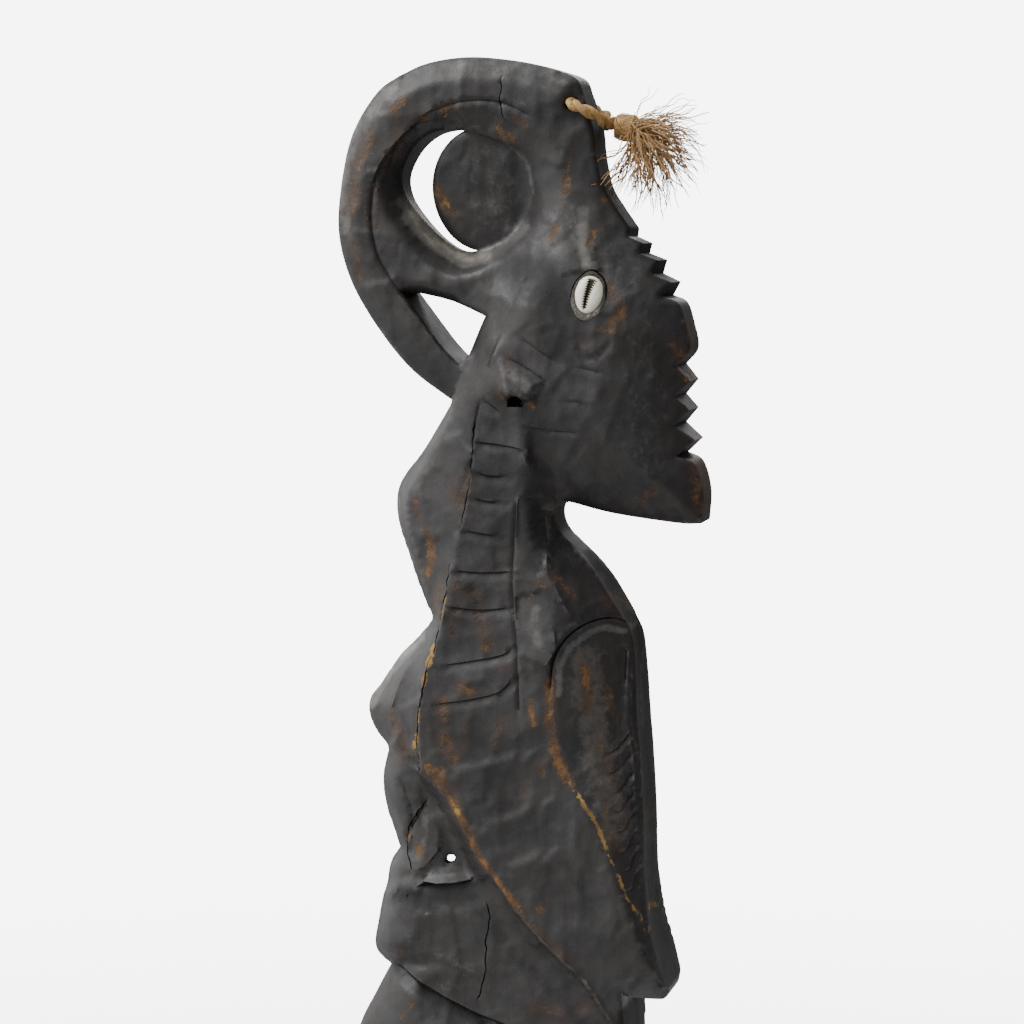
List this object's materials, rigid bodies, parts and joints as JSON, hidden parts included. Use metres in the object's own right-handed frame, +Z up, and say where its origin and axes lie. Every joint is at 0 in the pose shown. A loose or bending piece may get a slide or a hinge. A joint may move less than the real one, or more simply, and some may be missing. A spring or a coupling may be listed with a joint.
{
  "type": "carved wooden tribal figure",
  "caption": "Upright carved wooden spirit figure with a looped crest, toothed profile, shell eyes, folded wings and a fibre tassel, on a low base.",
  "frame": {"origin": "on the underside of the base, under the head's throat line, in the middle of the carving's thickness", "axes": "+X the way the face looks, +Y across the thickness towards the far side, +Z up"},
  "size_m": [0.2283, 0.15, 0.7201],
  "materials": {
    "patinated_wood": "hand-carved hardwood with a near-black worn patina, brown where it is rubbed through",
    "cowrie_shell": "smooth cream cowrie shell",
    "grey_putty": "dull grey-brown putty",
    "plant_fibre": "dry golden-brown plant fibre, twisted and frayed"
  },
  "bodies": {
    "root": {"carved_figure": "patinated_wood", "cowrie_eye_near": "cowrie_shell", "cowrie_eye_far": "cowrie_shell", "eye_putty_near": "grey_putty", "eye_putty_far": "grey_putty", "tassel_cord": "plant_fibre", "tassel_binding": "plant_fibre", "tassel_fibres": "plant_fibre"}
  },
  "joints": []
}
